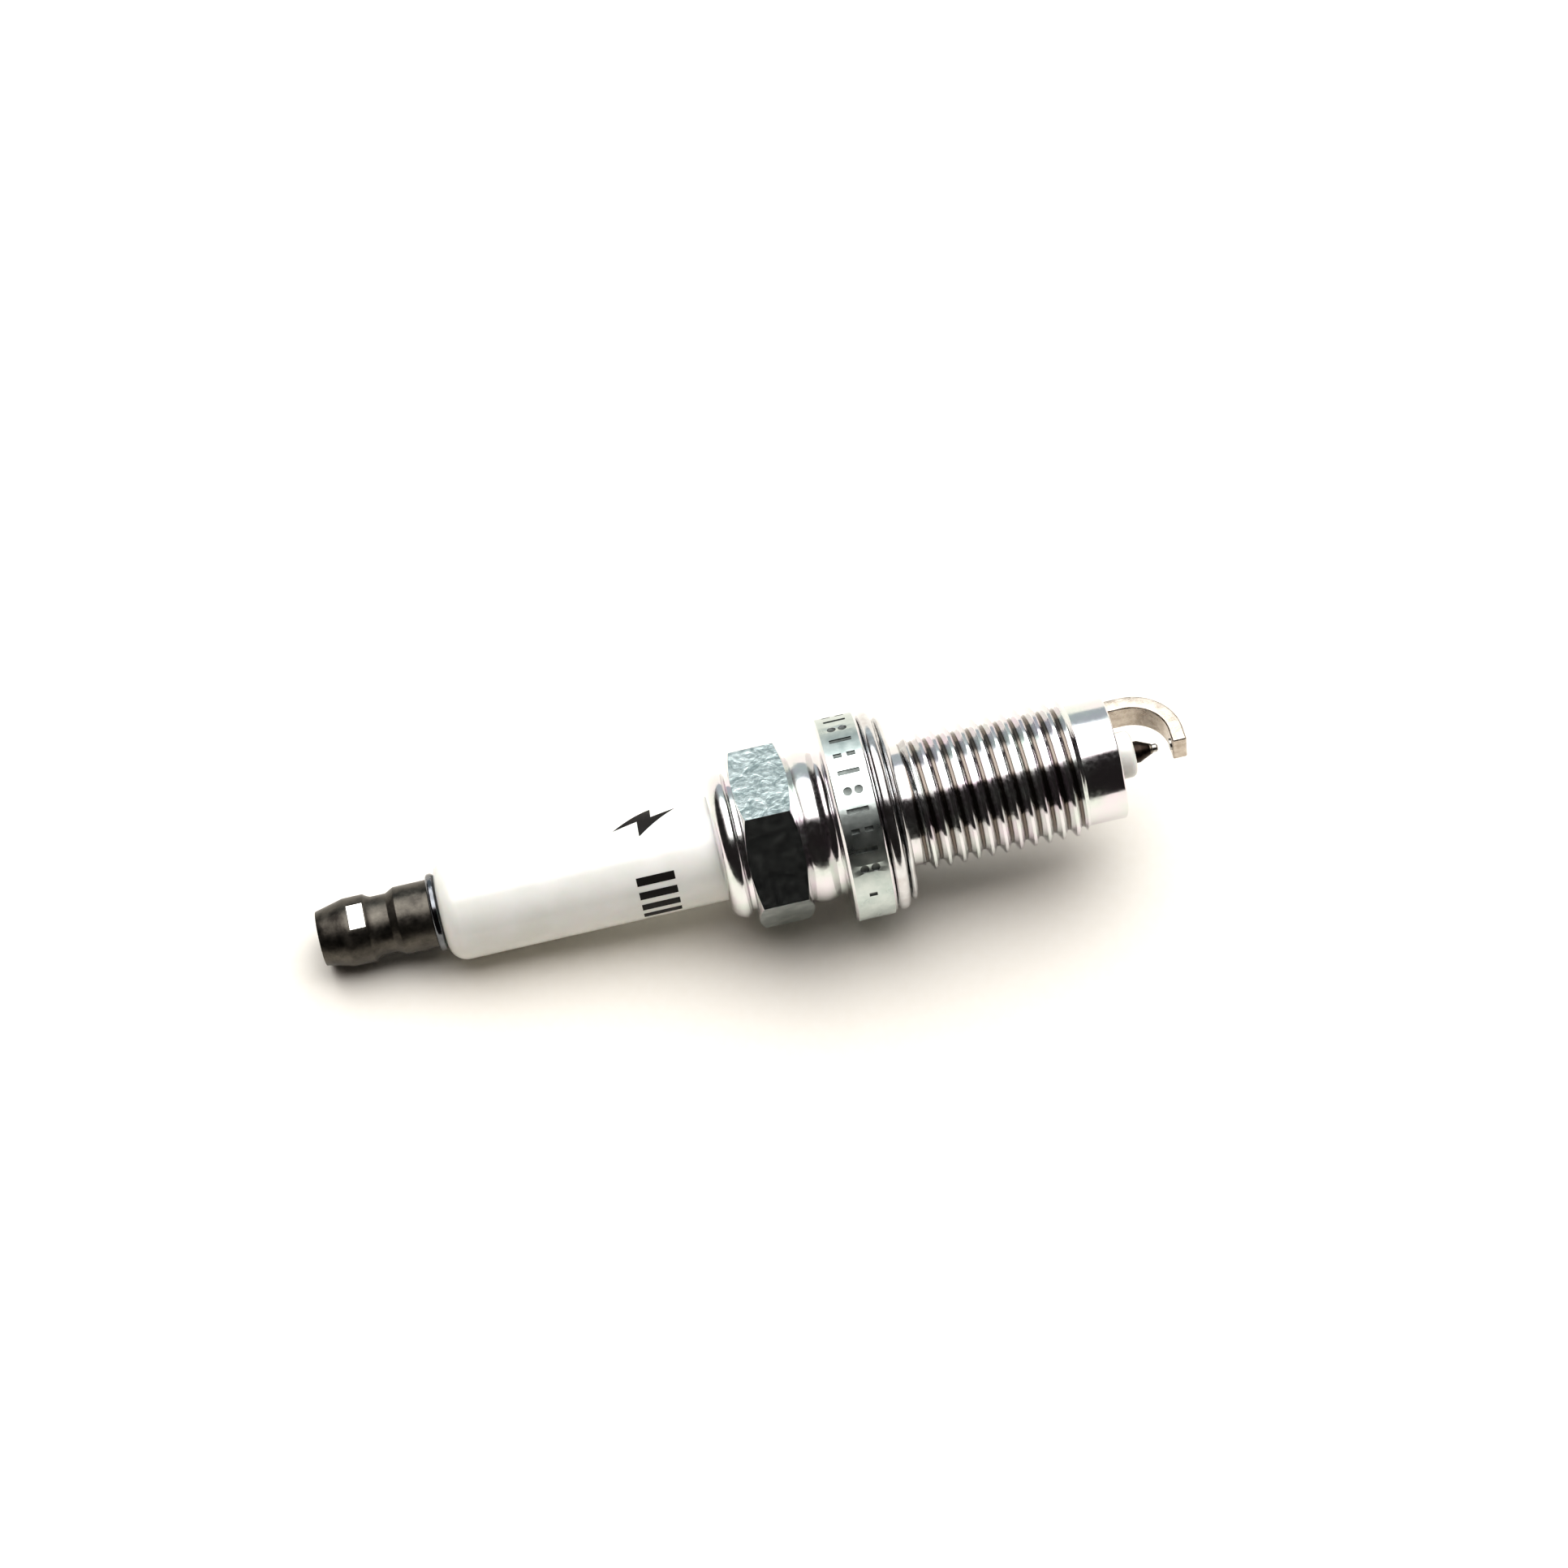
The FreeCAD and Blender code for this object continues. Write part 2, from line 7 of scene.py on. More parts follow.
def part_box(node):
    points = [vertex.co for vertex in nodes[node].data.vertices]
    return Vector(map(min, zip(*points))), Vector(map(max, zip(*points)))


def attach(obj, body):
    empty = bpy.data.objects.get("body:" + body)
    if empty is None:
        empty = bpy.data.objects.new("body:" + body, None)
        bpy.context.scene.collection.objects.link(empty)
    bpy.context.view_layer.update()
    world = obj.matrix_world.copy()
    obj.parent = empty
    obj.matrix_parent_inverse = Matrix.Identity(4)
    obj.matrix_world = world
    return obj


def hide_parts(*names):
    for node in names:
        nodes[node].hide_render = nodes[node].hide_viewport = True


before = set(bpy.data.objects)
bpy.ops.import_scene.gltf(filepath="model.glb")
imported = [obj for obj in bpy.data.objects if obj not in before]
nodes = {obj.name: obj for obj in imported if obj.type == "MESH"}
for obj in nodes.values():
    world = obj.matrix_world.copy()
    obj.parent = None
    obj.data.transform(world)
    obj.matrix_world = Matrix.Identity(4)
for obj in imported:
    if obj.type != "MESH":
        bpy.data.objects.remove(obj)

# Spark plug, in metres. +X runs along the plug's axis to the firing end, and +Z is up.
# Angles round the axis are counted from +Y towards +Z, in degrees.
MM = 0.001

# Camera: where it looks, how far off it stands, and how it is turned
AIM = Vector((-9.12 * MM, 4.42 * MM, 0.0))
CAMERA_DISTANCE = 343.6 * MM
CAMERA_ELEVATION = 67.25
CAMERA_AZIMUTH = -4.76      # from -Y towards +X
CAMERA_ROLL = 8.49
CAMERA_LENS = 91.39
CAMERA_SENSOR = 36.0

# Studio: a soft box overhead, a pale wall behind it, and darkness on the near side.
# Its edges run along the plug, at angles round the plug's axis.
BOX_LIGHT = 3.35
WALL_LIGHT = 0.52
ROOM_LIGHT = 0.022
BOX_NEAR_EDGE = 98.0
BOX_FAR_EDGE = 36.0
BOX_LEAN = 0.18             # the box's middle, towards the firing end, as the sine of an angle
BOX_HALF_LENGTH = 0.58
NEAR_SOFTNESS = 0.09        # half widths of the soft edges
FAR_SOFTNESS = 0.12
END_SOFTNESS = 0.20
BOX_COLOUR = "#FFFFFF"
WALL_COLOUR = "#E6F1F5"
ROOM_COLOUR = "#FFF2F0"
FLOOR_SIZE = 4.0
FLOOR_COLLAR_POINT = (-5.73 * MM, -8.85 * MM)
FLOOR_NECK_POINT = (-38.5 * MM, -4.56 * MM)

# Stretches of the shell that carry a finish of their own, or painted shade
HEX_FLAT_R = 7.0 * MM
HEX_END_X = -8.5 * MM
COLLAR_STRETCH = (-5.70 * MM, -2.15 * MM)
COLLAR_RIM_R = 8.80 * MM
# Collar faces between this radius and the rim's are the stamps' floors, which get painted shade
STAMP_FLOOR_R = 8.70 * MM
THREAD_MIDDLE = 8.25 * MM
THREAD_HALF_LENGTH = 7.35 * MM
# Painted shade darkens the thread's roots, fading out between these two radii
THREAD_ROOT_R = 5.24 * MM
ROOT_SHADE_END_R = 5.38 * MM
SQUARE_TO_AXIS = 0.02       # greatest axial part of a normal that points straight out
FACE_TOLERANCE = 0.03 * MM

# Staking flats of the terminal nut
WINDOW_TURN = 84.5
WINDOW_FLOOR_R = 2.58 * MM
WINDOW_STRETCH = (2.6 * MM, 4.4 * MM)    # from the nut's tip
WINDOW_TOLERANCE = 0.02 * MM
WINDOW_FACING = 0.999       # least cosine between a flat's normal and the way it faces

# Printed marks on the insulator
PRINT_THICKNESS = 0.014 * MM
PRINT_LIFT = 0.004 * MM
PRINT_START_HEIGHT = 6 * MM
PRINT_SHARP_EDGE = 30.0
DRAWN_AT = 90.0             # a mark is drawn straight above the axis
BOLT_PLACE = (-21.6 * MM, 56.0)
BOLT_HEIGHT = 5.6 * MM
# Corners along and across the neck, as shares of the height
BOLT_OUTLINE = [
    (0.50, 0.13), (0.11, 0.02), (0.12, 0.33),
    (-0.50, -0.13), (-0.11, -0.02), (-0.12, -0.33),
]
BOLT_HALVINGS = 3           # each cuts every edge in two, so that the mark can wrap
BARS_PLACE = (-21.7 * MM, 155.0)
BAR_LENGTH = 3.3 * MM
BAR_WIDTH = 0.75 * MM
BAR_STEP = 17.0             # from one bar to the next
BAR_COUNT = 4

# Edges broken on the CAD parts' surfaces
SAME_POINT = 0.0005 * MM
SAME_PLANE = 0.05           # degrees
SHARP_EDGE = 25.0           # degrees; flatter edges stay smooth
GASKET_SHARP_EDGE = 40.0
EDGE_SEGMENTS = 2

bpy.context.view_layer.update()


# ---------------------------------------------------------------- modelling helpers

def deselect_all():
    if bpy.context.object and bpy.context.object.mode != "OBJECT":
        bpy.ops.object.mode_set(mode="OBJECT")
    bpy.ops.object.select_all(action="DESELECT")


def pick(piece):
    """Makes one piece the only selected and the active one."""
    deselect_all()
    piece.select_set(True)
    bpy.context.view_layer.objects.active = piece


def apply_modifiers(piece):
    pick(piece)
    for modifier in list(piece.modifiers):
        bpy.ops.object.modifier_apply(modifier=modifier.name)


def apply_place(piece):
    pick(piece)
    bpy.ops.object.transform_apply(location=True, rotation=True, scale=True)


def round_the_axis(piece, degrees):
    """Turns a piece round the plug's axis and leaves the turn in its mesh."""
    piece.matrix_world = Matrix.Rotation(math.radians(degrees), 4, "X") @ piece.matrix_world
    apply_place(piece)


def broken_edges(name, node, width, sharpest=SHARP_EDGE):
    """A piece made from a CAD part's own surface, with its sharp edges broken by a small radius."""
    deselect_all()
    piece = nodes[node].copy()
    piece.data = nodes[node].data.copy()
    piece.name = name
    piece.data.name = name
    piece.parent = None
    for key in list(piece.keys()):
        del piece[key]
    bpy.context.scene.collection.objects.link(piece)
    pick(piece)
    if piece.data.has_custom_normals:
        bpy.ops.mesh.customdata_custom_splitnormals_clear()
    bpy.ops.object.mode_set(mode="EDIT")
    bpy.ops.mesh.select_all(action="SELECT")
    bpy.ops.mesh.remove_doubles(threshold=SAME_POINT)
    bpy.ops.mesh.dissolve_limited(angle_limit=math.radians(SAME_PLANE))
    bpy.ops.object.mode_set(mode="OBJECT")
    if width:
        bevel = piece.modifiers.new("edges", "BEVEL")
        bevel.width = width
        bevel.segments = EDGE_SEGMENTS
        bevel.limit_method = "ANGLE"
        bevel.angle_limit = math.radians(sharpest)
        bevel.use_clamp_overlap = True
        apply_modifiers(piece)
    bpy.ops.object.shade_smooth_by_angle(angle=math.radians(sharpest))
    if width:
        # The broad faces keep their own direction, and the narrow rounded ones blend into it.
        even = piece.modifiers.new("even_shading", "WEIGHTED_NORMAL")
        even.keep_sharp = True
        apply_modifiers(piece)
    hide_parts(node)
    return piece


# ---------------------------------------------------------------- material helpers

def paint(hex_code):
    """An sRGB hex colour as the linear colour that the shader takes."""
    parts = [int(hex_code[i:i + 2], 16) / 255.0 for i in (1, 3, 5)]
    linear = [c / 12.92 if c <= 0.04045 else ((c + 0.055) / 1.055) ** 2.4 for c in parts]
    return (*linear, 1.0)


def add(tree, kind, settings=None, **links):
    """Adds a node, sets its values and joins its inputs. A link is a value, or a socket to join."""
    node = tree.nodes.new(kind)
    for key, value in (settings or {}).items():
        setattr(node, key, value)
    for key, value in links.items():
        name = key.replace("_", " ")
        socket = node.inputs[int(name[1:])] if name[1:].isdigit() else node.inputs[name]
        if isinstance(value, bpy.types.NodeSocket):
            tree.links.new(value, socket)
        else:
            socket.default_value = value
    return node


def new_material(name):
    material = bpy.data.materials.new(name)
    material.use_nodes = True
    tree = material.node_tree
    tree.nodes.clear()
    shader = add(tree, "ShaderNodeBsdfPrincipled")
    add(tree, "ShaderNodeOutputMaterial", Surface=shader.outputs["BSDF"])
    place = add(tree, "ShaderNodeTexCoord").outputs["Object"]
    return material, tree, shader, place


def per_mm(size_mm):
    """Noise scale whose features are about this many millimetres across."""
    return 1000.0 / size_mm


def give(piece, *finishes):
    piece.data.materials.clear()
    for finish in finishes:
        piece.data.materials.append(finish)


# ---------------------------------------------------------------- materials

def plated_turned_steel():
    """Bright nickel on turned steel. It mirrors the studio, softened by faint clouds and tool rings.

    The rings are drawn about twice as coarse as a real feed mark, so that they show. Each groove
    of the thread gets a dark line of painted shade at its root.
    """
    material, tree, shader, place = new_material("bright_nickel_on_turned_steel")
    apart = add(tree, "ShaderNodeSeparateXYZ", Vector=place)
    clouds = add(tree, "ShaderNodeTexNoise", Vector=place, Scale=per_mm(2.4), Detail=4.0, Roughness=0.55)
    patches = add(tree, "ShaderNodeMapRange", Value=clouds.outputs["Fac"], From_Min=0.32, From_Max=0.66)
    own_tone = add(tree, "ShaderNodeMix", {"data_type": "RGBA"}, Factor=patches.outputs["Result"],
                _6=paint("#E6DDE4"), _7=paint("#DDE3DE"))

    across = add(tree, "ShaderNodeCombineXYZ", Y=apart.outputs["Y"], Z=apart.outputs["Z"])
    radius = add(tree, "ShaderNodeVectorMath", {"operation": "LENGTH"}, Vector=across.outputs["Vector"])
    # Painted shade in the thread's roots: darkest at the root radius, gone a little further out, and
    # only outside the bore on the threaded stretch
    root_shade = add(tree, "ShaderNodeMapRange", {"interpolation_type": "SMOOTHSTEP"},
              Value=radius.outputs["Value"], From_Min=THREAD_ROOT_R, From_Max=ROOT_SHADE_END_R,
              To_Min=1.0, To_Max=0.0)
    threaded = add(tree, "ShaderNodeMath", {"operation": "COMPARE"}, _0=apart.outputs["X"],
                   _1=THREAD_MIDDLE, _2=THREAD_HALF_LENGTH)
    outside = add(tree, "ShaderNodeMath", {"operation": "GREATER_THAN"},
                  _0=radius.outputs["Value"], _1=THREAD_ROOT_R - 0.1 * MM)
    in_groove = add(tree, "ShaderNodeMath", {"operation": "MULTIPLY"},
                    _0=threaded.outputs["Value"], _1=outside.outputs["Value"])
    painted_root_shade = add(tree, "ShaderNodeMath", {"operation": "MULTIPLY"},
                _0=in_groove.outputs["Value"], _1=root_shade.outputs["Result"])
    # The painted shade's dark colour, mixed in over the metal's own tone
    colour = add(tree, "ShaderNodeMix", {"data_type": "RGBA"}, Factor=painted_root_shade.outputs["Value"],
                 _6=own_tone.outputs[2], _7=paint("#6E665F"))
    tree.links.new(colour.outputs[2], shader.inputs["Base Color"])
    shader.inputs["Metallic"].default_value = 1.0

    specks = add(tree, "ShaderNodeTexNoise", Vector=place, Scale=per_mm(0.35), Detail=3.0, Roughness=0.6)
    dull = add(tree, "ShaderNodeMath", {"operation": "MULTIPLY"},
               _0=clouds.outputs["Fac"], _1=specks.outputs["Fac"])
    rough = add(tree, "ShaderNodeMapRange", Value=dull.outputs["Value"],
                From_Min=0.12, From_Max=0.40, To_Min=0.08, To_Max=0.24)
    tree.links.new(rough.outputs["Result"], shader.inputs["Roughness"])
    along = add(tree, "ShaderNodeCombineXYZ", X=apart.outputs["X"])
    rings = add(tree, "ShaderNodeTexNoise", Vector=along.outputs["Vector"],
                Scale=per_mm(0.12), Detail=2.0, Roughness=0.6)
    bump = add(tree, "ShaderNodeBump", Height=rings.outputs["Fac"], Strength=0.10, Distance=0.01 * MM)
    tree.links.new(bump.outputs["Normal"], shader.inputs["Normal"])
    return material


def plated_cold_formed_steel():
    """Nickel on cold-formed flats. Cloudy and dimpled, so a flat face breaks the light into patches."""
    material, tree, shader, place = new_material("nickel_on_cold_formed_hex")
    clouds = add(tree, "ShaderNodeTexNoise", Vector=place, Scale=per_mm(1.2), Detail=5.0,
                 Roughness=0.66, Distortion=0.8)
    patches = add(tree, "ShaderNodeMapRange", Value=clouds.outputs["Fac"], From_Min=0.34, From_Max=0.64)
    colour = add(tree, "ShaderNodeMix", {"data_type": "RGBA"}, Factor=patches.outputs["Result"],
                 _6=paint("#A7B4B2"), _7=paint("#D3DBD9"))
    tree.links.new(colour.outputs[2], shader.inputs["Base Color"])
    shader.inputs["Metallic"].default_value = 1.0
    rough = add(tree, "ShaderNodeMapRange", Value=patches.outputs["Result"], To_Min=0.17, To_Max=0.26)
    tree.links.new(rough.outputs["Result"], shader.inputs["Roughness"])
    grain = add(tree, "ShaderNodeTexVoronoi", Vector=place, Scale=per_mm(0.55))
    height = add(tree, "ShaderNodeMath", {"operation": "MULTIPLY_ADD"},
                 _0=grain.outputs["Distance"], _1=0.35, _2=clouds.outputs["Fac"])
    bump = add(tree, "ShaderNodeBump", Height=height.outputs["Value"], Strength=0.42, Distance=0.12 * MM)
    tree.links.new(bump.outputs["Normal"], shader.inputs["Normal"])
    return material


def glazed_alumina():
    """White alumina under clear fired glaze. Bright and glossy, with a slight orange-peel ripple."""
    material, tree, shader, place = new_material("glazed_white_alumina")
    mottle = add(tree, "ShaderNodeTexNoise", Vector=place, Scale=per_mm(3.0), Detail=3.0, Roughness=0.5)
    patches = add(tree, "ShaderNodeMapRange", Value=mottle.outputs["Fac"], From_Min=0.35, From_Max=0.65)
    colour = add(tree, "ShaderNodeMix", {"data_type": "RGBA"}, Factor=patches.outputs["Result"],
                 _6=paint("#ECECE5"), _7=paint("#F3F2ED"))
    tree.links.new(colour.outputs[2], shader.inputs["Base Color"])
    shader.inputs["IOR"].default_value = 1.54
    shader.inputs["Subsurface Weight"].default_value = 0.12
    shader.inputs["Subsurface Scale"].default_value = 0.6 * MM
    rough = add(tree, "ShaderNodeMapRange", Value=patches.outputs["Result"], To_Min=0.16, To_Max=0.24)
    tree.links.new(rough.outputs["Result"], shader.inputs["Roughness"])
    peel = add(tree, "ShaderNodeTexNoise", Vector=place, Scale=per_mm(0.8), Detail=2.0)
    bump = add(tree, "ShaderNodeBump", Height=peel.outputs["Fac"], Strength=0.06, Distance=0.05 * MM)
    tree.links.new(bump.outputs["Normal"], shader.inputs["Normal"])
    return material


def worked_metal(name, dark, light, rough_low, rough_high, grain_mm, depth=0.20):
    """A plain metal in two shades that drift at the grain's size, with the roughness following them."""
    material, tree, shader, place = new_material(name)
    drift = add(tree, "ShaderNodeTexNoise", Vector=place, Scale=per_mm(grain_mm), Detail=5.0,
                Roughness=0.6)
    patches = add(tree, "ShaderNodeMapRange", Value=drift.outputs["Fac"], From_Min=0.33, From_Max=0.67)
    colour = add(tree, "ShaderNodeMix", {"data_type": "RGBA"}, Factor=patches.outputs["Result"],
                 _6=paint(dark), _7=paint(light))
    tree.links.new(colour.outputs[2], shader.inputs["Base Color"])
    shader.inputs["Metallic"].default_value = 1.0
    rough = add(tree, "ShaderNodeMapRange", Value=patches.outputs["Result"],
                To_Min=rough_low, To_Max=rough_high)
    tree.links.new(rough.outputs["Result"], shader.inputs["Roughness"])
    fine = add(tree, "ShaderNodeTexNoise", Vector=place, Scale=per_mm(grain_mm / 5.0), Detail=3.0)
    bump = add(tree, "ShaderNodeBump", Height=fine.outputs["Fac"], Strength=depth, Distance=0.03 * MM)
    tree.links.new(bump.outputs["Normal"], shader.inputs["Normal"])
    return material


def fired_powder(name, dark, light, rough, grain_mm):
    """A matt pressed or fused mass, speckled at its grain size."""
    material, tree, shader, place = new_material(name)
    grains = add(tree, "ShaderNodeTexVoronoi", Vector=place, Scale=per_mm(grain_mm))
    colour = add(tree, "ShaderNodeMix", {"data_type": "RGBA"}, Factor=grains.outputs["Distance"],
                 _6=paint(dark), _7=paint(light))
    tree.links.new(colour.outputs[2], shader.inputs["Base Color"])
    shader.inputs["Roughness"].default_value = rough
    bump = add(tree, "ShaderNodeBump", Height=grains.outputs["Distance"], Strength=0.3,
               Distance=0.05 * MM)
    tree.links.new(bump.outputs["Normal"], shader.inputs["Normal"])
    return material


def marking_ink():
    """Black marking ink fired onto the glaze. Thin, slightly uneven and less glossy than the glaze."""
    material, tree, shader, place = new_material("fired_black_marking_ink")
    wear = add(tree, "ShaderNodeTexNoise", Vector=place, Scale=per_mm(0.3), Detail=4.0)
    colour = add(tree, "ShaderNodeMix", {"data_type": "RGBA"}, Factor=wear.outputs["Fac"],
                 _6=paint("#080706"), _7=paint("#1C1815"))
    tree.links.new(colour.outputs[2], shader.inputs["Base Color"])
    rough = add(tree, "ShaderNodeMapRange", Value=wear.outputs["Fac"],
                From_Min=0.3, From_Max=0.7, To_Min=0.55, To_Max=0.70)
    tree.links.new(rough.outputs["Result"], shader.inputs["Roughness"])
    shader.inputs["Specular IOR Level"].default_value = 0.3
    return material


def paper_board():
    """Warm white uncoated board. Matt, with a faint fibre."""
    material, tree, shader, place = new_material("uncoated_white_board")
    fibre = add(tree, "ShaderNodeTexNoise", Vector=place, Scale=per_mm(0.8), Detail=3.0)
    colour = add(tree, "ShaderNodeMix", {"data_type": "RGBA"}, Factor=fibre.outputs["Fac"],
                 _6=paint("#F9F4EA"), _7=paint("#FCF8F0"))
    tree.links.new(colour.outputs[2], shader.inputs["Base Color"])
    shader.inputs["Roughness"].default_value = 0.9
    shader.inputs["Specular IOR Level"].default_value = 0.2
    return material


# ---------------------------------------------------------------- the plug's pieces

def finish_shell():
    """The shell, with finishes of their own on the hex flats, the collar's rim and its stamped marks,
    whose floors are also darkened with painted shade.
    """
    # Rolled rim under nickel: satin, so the light fades round it.
    rim = worked_metal("satin_nickel_on_rolled_rim", "#B7C2BE", "#D3DAD6", 0.26, 0.36, 1.5, 0.15)
    # Struck metal: dull, and darker than the rim through painted shade on the stamps' floors, so the
    # marks read in light and in shade.
    dull_and_shaded_stamps = worked_metal("dull_struck_metal_with_painted_shade", "#5A5E5C", "#7E8380", 0.42, 0.55, 0.5, 0.30)
    shell = broken_edges("plated_shell_body", "metal_shell", 0.05 * MM)
    give(shell, plated_turned_steel(), plated_cold_formed_steel(), rim, dull_and_shaded_stamps)
    for face in shell.data.polygons:
        centre, normal = face.center, face.normal
        if abs(normal.x) > SQUARE_TO_AXIS:
            continue
        depth = centre.y * normal.y + centre.z * normal.z
        radius = math.hypot(centre.y, centre.z)
        on_collar = COLLAR_STRETCH[0] < centre.x < COLLAR_STRETCH[1]
        if centre.x < HEX_END_X and abs(depth - HEX_FLAT_R) < FACE_TOLERANCE:
            face.material_index = 1
        elif on_collar and radius > COLLAR_RIM_R:
            face.material_index = 2
        # Stamp floors: the dull struck finish, with painted shade in its darker colour
        elif on_collar and radius > STAMP_FLOOR_R:
            face.material_index = 3
    return shell


def finish_terminal_nut():
    """The push-on nut, with bare metal where the staking flats were cut."""
    # Black oxide on machined steel: brown-grey and soft, with hardly a highlight.
    oxide = worked_metal("black_oxide_on_machined_steel", "#403D39", "#65615A", 0.30, 0.44, 1.2, 0.35)
    # Bare cut steel: bright enough to blow out under the light.
    bare = worked_metal("bare_staked_steel", "#D6D4CF", "#E8E6E2", 0.28, 0.40, 0.8)
    nut = broken_edges("push_on_terminal", "terminal_nut", 0.07 * MM)
    give(nut, oxide, bare)
    turn = math.radians(WINDOW_TURN)
    out = Vector((0, math.cos(turn), math.sin(turn)))
    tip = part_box("terminal_nut")[0].x
    for face in nut.data.polygons:
        facing = abs(face.normal.dot(out)) > WINDOW_FACING
        in_window = WINDOW_STRETCH[0] < face.center.x - tip < WINDOW_STRETCH[1]
        on_floor = abs(abs(face.center.dot(out)) - WINDOW_FLOOR_R) < WINDOW_TOLERANCE
        if facing and in_window and on_floor:
            face.material_index = 1
    return nut


def lay_print(mark, ink):
    """Lays a flat mark, drawn above the neck, onto the glaze and gives it its thickness."""
    wrap = mark.modifiers.new("onto_glaze", "SHRINKWRAP")
    wrap.target = nodes["insulator"]
    wrap.wrap_method = "PROJECT"
    wrap.use_project_z = True
    wrap.use_negative_direction = True
    wrap.use_positive_direction = False
    wrap.offset = PRINT_LIFT
    skin = mark.modifiers.new("ink", "SOLIDIFY")
    skin.thickness = PRINT_THICKNESS
    skin.offset = 1.0
    apply_modifiers(mark)
    bpy.ops.object.shade_smooth_by_angle(angle=math.radians(PRINT_SHARP_EDGE))
    give(mark, ink)


def bolt_mark(ink):
    """A plain zigzag pictogram for high voltage, printed on the neck."""
    x, turn = BOLT_PLACE
    deselect_all()
    bpy.ops.mesh.primitive_circle_add(vertices=len(BOLT_OUTLINE), radius=BOLT_HEIGHT / 2,
                                      fill_type="NGON", location=(x, 0, PRINT_START_HEIGHT))
    mark = bpy.context.object
    mark.name = "bolt_mark"
    apply_place(mark)
    for k, (u, v) in enumerate(BOLT_OUTLINE):
        corner = Vector((x + u * BOLT_HEIGHT, v * BOLT_HEIGHT, PRINT_START_HEIGHT))
        move = corner - mark.data.vertices[k].co
        bpy.ops.object.mode_set(mode="EDIT")
        bpy.ops.mesh.select_mode(type="VERT")
        bpy.ops.mesh.select_all(action="DESELECT")
        bpy.ops.object.mode_set(mode="OBJECT")
        mark.data.vertices[k].select = True
        bpy.ops.object.mode_set(mode="EDIT")
        bpy.ops.transform.translate(value=move)
        bpy.ops.object.mode_set(mode="OBJECT")
    bpy.ops.object.mode_set(mode="EDIT")
    bpy.ops.mesh.select_all(action="SELECT")
    bpy.ops.mesh.quads_convert_to_tris()
    for halving in range(BOLT_HALVINGS):
        bpy.ops.mesh.subdivide(number_cuts=1)
    bpy.ops.object.mode_set(mode="OBJECT")
    if mark.data.polygons[0].normal.z < 0:
        bpy.ops.object.mode_set(mode="EDIT")
        bpy.ops.mesh.flip_normals()
        bpy.ops.object.mode_set(mode="OBJECT")
    lay_print(mark, ink)
    round_the_axis(mark, turn - DRAWN_AT)
    return mark


def bar_marks(ink):
    """Plain bars along the neck, printed side by side. One is modelled, and the rest are its copies."""
    x, middle = BARS_PLACE
    first_turn = middle - DRAWN_AT - BAR_STEP * (BAR_COUNT - 1) / 2
    deselect_all()
    bpy.ops.mesh.primitive_grid_add(x_subdivisions=12, y_subdivisions=4, size=1,
                                    location=(x, 0, PRINT_START_HEIGHT))
    first = bpy.context.object
    first.scale = (BAR_LENGTH, BAR_WIDTH, 1)
    apply_place(first)
    lay_print(first, ink)
    bars = [first]
    while len(bars) < BAR_COUNT:
        bar = first.copy()
        bar.data = first.data.copy()
        bpy.context.scene.collection.objects.link(bar)
        bars.append(bar)
    for k, bar in enumerate(bars):
        bar.name = f"bar_mark_{k + 1}"
        round_the_axis(bar, first_turn + BAR_STEP * k)
    return bars


def dress_hidden_nodes():
    """Finishes for the CAD parts that are sealed inside."""
    # Drawn steel wire and punched washer: grey and evenly satin.
    packing = worked_metal("drawn_steel_wire", "#8C8C8C", "#B4B4B2", 0.28, 0.42, 1.0)
    # Drawn copper: warm and half bright.
    copper = worked_metal("drawn_copper", "#B4683F", "#D08A62", 0.25, 0.40, 1.2)
    # Pressed talc: chalky and speckled.
    talc = fired_powder("pressed_talc", "#C9C5BB", "#F2EFE8", 0.9, 0.25)
    # Glass fused with metal powder: dark and half glossy.
    glass = fired_powder("fused_conductive_glass", "#1C2123", "#586062", 0.35, 0.4)
    # Fired carbon and glass: black and dull.
    carbon = fired_powder("fired_carbon_resistor", "#121212", "#373534", 0.75, 0.2)
    finishes = {
        packing: ("upper_packing_ring", "lower_packing_ring", "seat_washer"),
        copper: ("electrode_core", "ground_core"),
        talc: ("talc_filling",),
        glass: ("upper_glass_seal", "lower_glass_seal"),
        carbon: ("resistor",),
    }
    for finish, names in finishes.items():
        for name in names:
            give(nodes[name], finish)


